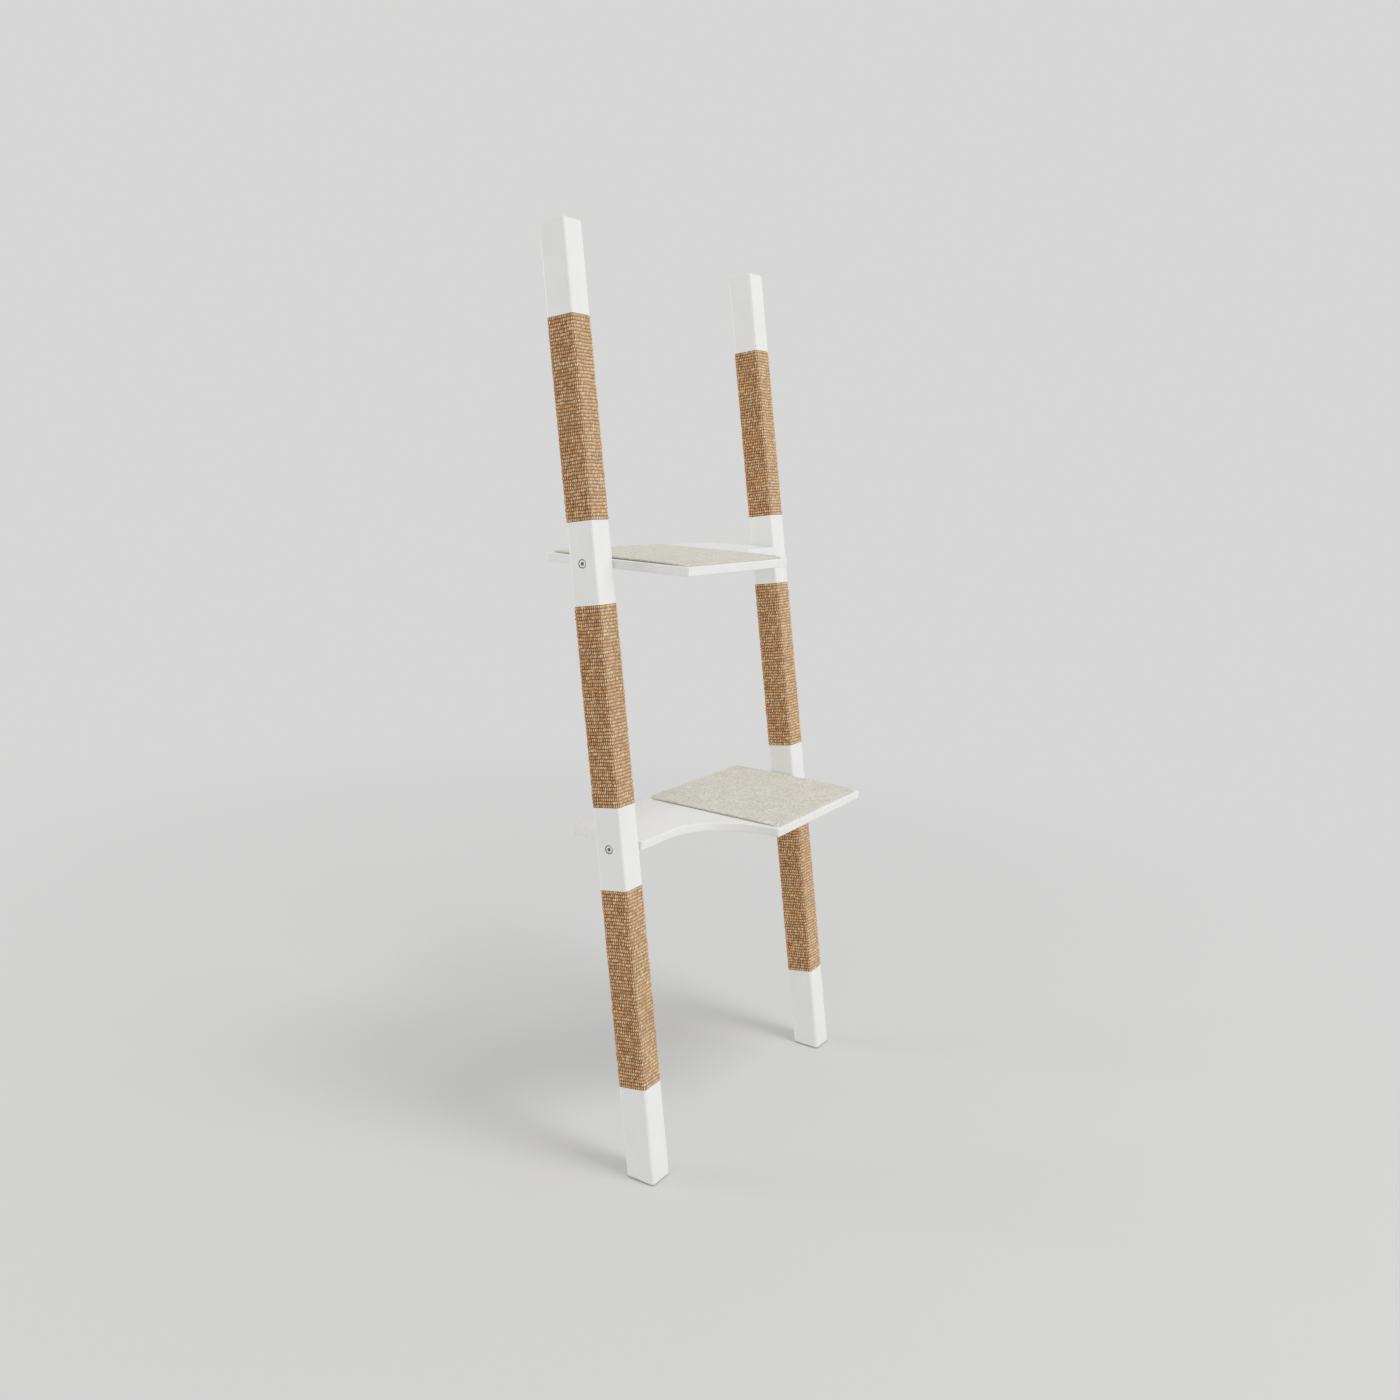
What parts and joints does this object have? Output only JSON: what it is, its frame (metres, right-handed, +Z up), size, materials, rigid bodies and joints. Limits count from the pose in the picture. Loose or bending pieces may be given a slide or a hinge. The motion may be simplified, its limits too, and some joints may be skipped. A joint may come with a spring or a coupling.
{
  "type": "cat scratching tree",
  "caption": "Leaning ladder-style cat scratching tree: two square rails with inlaid sisal wraps, two curved shelves with felt mats, resting against a wall.",
  "frame": {"origin": "on the floor, in the middle of the tree's overall width and depth", "axes": "+X along the wall to the right rail, +Y to the wall, +Z up"},
  "size_m": [0.7092, 0.3744, 1.6],
  "materials": {
    "white_lacquer": "satin white lacquer over wood and board",
    "sisal_weave": "woven sisal carpet, natural tan",
    "wool_felt": "pressed wool felt, light grey-beige melange",
    "hook_tape": "hook tape",
    "bolt_steel": "bright zinc-plated steel",
    "screw_steel": "zinc-plated steel",
    "zinc_plate": "zinc-plated steel",
    "beech": "bare beech",
    "pad_rubber": "light grey matt rubber"
  },
  "bodies": {
    "frame": {"left_rail": "white_lacquer", "right_rail": "white_lacquer", "left_foot_pad": "pad_rubber", "right_foot_pad": "pad_rubber", "left_wall_hanger": "zinc_plate", "right_wall_hanger": "zinc_plate", "hanger_screws": "screw_steel", "shelf_bolts": "bolt_steel", "bolt_washers": "bolt_steel", "barrel_nuts": "zinc_plate", "dowels": "beech", "left_wrap_top": "sisal_weave", "right_wrap_top": "sisal_weave", "left_wrap_middle": "sisal_weave", "right_wrap_middle": "sisal_weave", "left_wrap_bottom": "sisal_weave", "right_wrap_bottom": "sisal_weave", "upper_shelf": "white_lacquer", "lower_shelf": "white_lacquer", "upper_mat_strips": "hook_tape", "lower_mat_strips": "hook_tape"},
    "upper_mat": {"upper_mat": "wool_felt"},
    "lower_mat": {"lower_mat": "wool_felt"}
  },
  "joints": [
    {"name": "upper_mat_lift", "type": "slide", "parent": "frame", "child": "upper_mat", "axis": [0, 0, 1], "range_m": [0, 0.06]},
    {"name": "lower_mat_lift", "type": "slide", "parent": "frame", "child": "lower_mat", "axis": [0, 0, 1], "range_m": [0, 0.06]}
  ]
}
